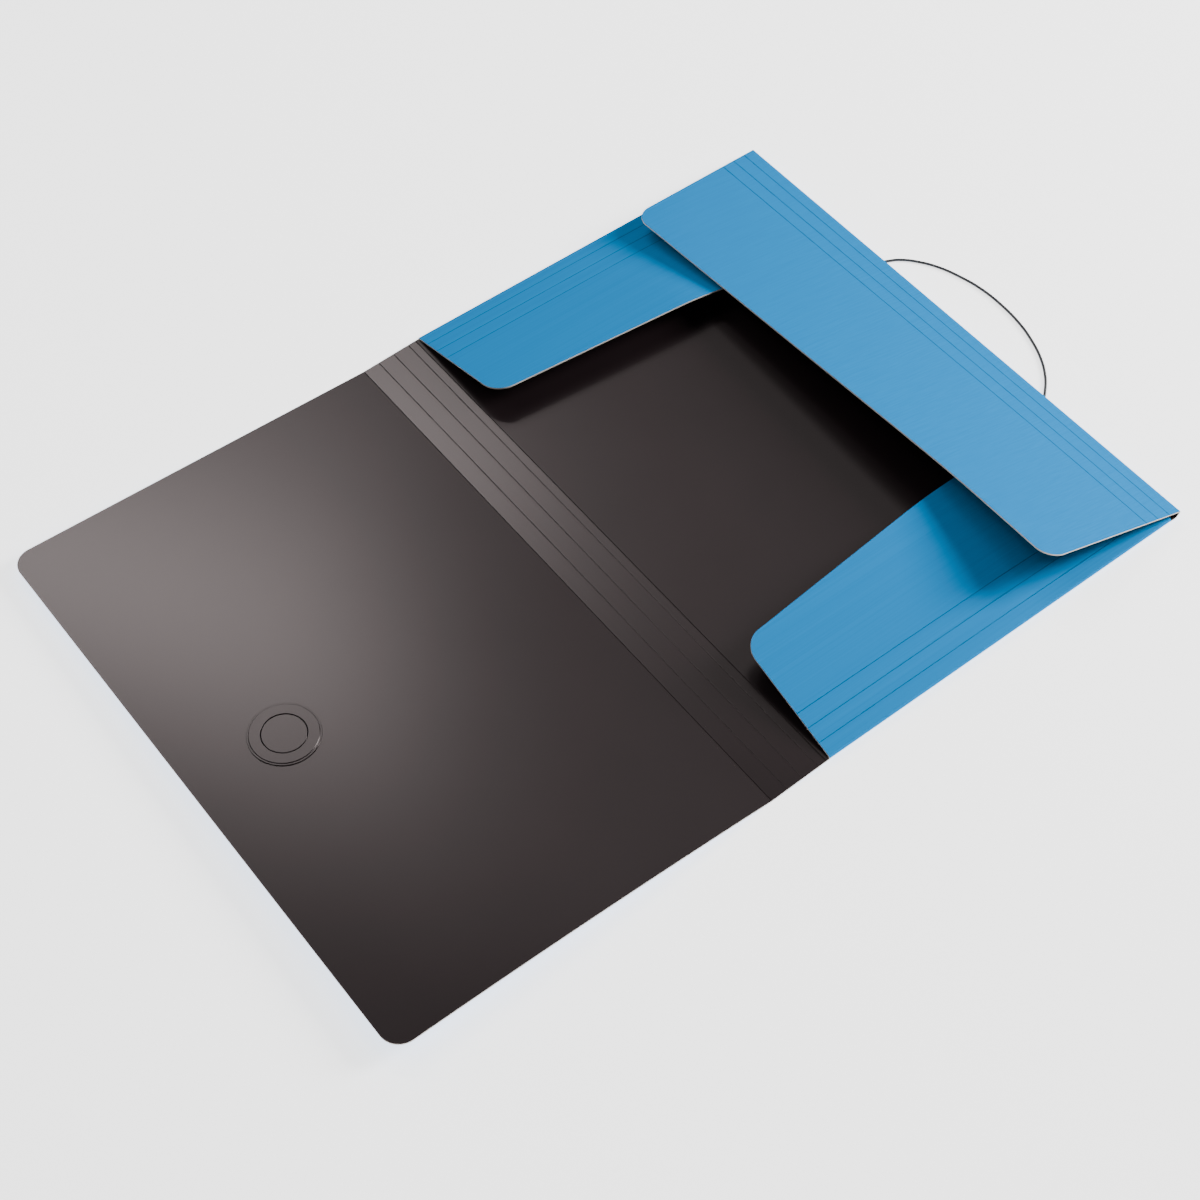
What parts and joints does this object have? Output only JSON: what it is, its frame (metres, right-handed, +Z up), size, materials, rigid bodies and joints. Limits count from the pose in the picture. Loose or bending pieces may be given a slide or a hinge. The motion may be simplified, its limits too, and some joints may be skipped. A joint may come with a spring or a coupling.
{
  "type": "elastic folder",
  "caption": "A4 card folder lying open with its cover thrown back, folded-in pocket flaps, a closure button with a retaining ring, and an elastic loop.",
  "frame": {"origin": "centre of the open folder's outline without its elastic, on the table it lies on", "axes": "+Z up from the table, +X from the open cover's free edge to the fore-edge of the back panel, +Y from the foot to the head"},
  "size_m": [0.4944, 0.3206, 0.0304],
  "materials": {
    "card": "blue outside and dark brown inside, satin, finely ribbed",
    "button": "satin blue moulding",
    "ring": "satin brown moulding",
    "stop": "black moulding",
    "elastic": "black braided round elastic"
  },
  "bodies": {
    "back": {"back_panel": "card", "cord_stop_head": "stop", "cord_stop_foot": "stop", "elastic_cord": "elastic"},
    "spine": {"spine_strip": "card"},
    "cover": {"front_cover": "card", "closure_button": "button", "button_ring": "ring"},
    "fore_flap": {"fore_edge_flap": "card"}
  },
  "joints": [
    {"name": "spine_fold", "type": "hinge", "parent": "back", "child": "spine", "pos_m": [0.00295, 0, 0.00225], "axis": [0, 1, 0], "range_deg": [0, 90]},
    {"name": "cover_fold", "type": "hinge", "parent": "spine", "child": "cover", "pos_m": [-0.0291, 0, 0.00045], "axis": [0, 1, 0], "range_deg": [0, 86]},
    {"name": "fore_flap_fold", "type": "hinge", "parent": "back", "child": "fore_flap", "pos_m": [0.23145, 0, 0.00535], "axis": [0, 1, 0], "range_deg": [0, 160]}
  ],
  "couplings": [
    {"joint": "spine_fold", "follows": "cover_fold", "ratio": 1.0465}
  ]
}
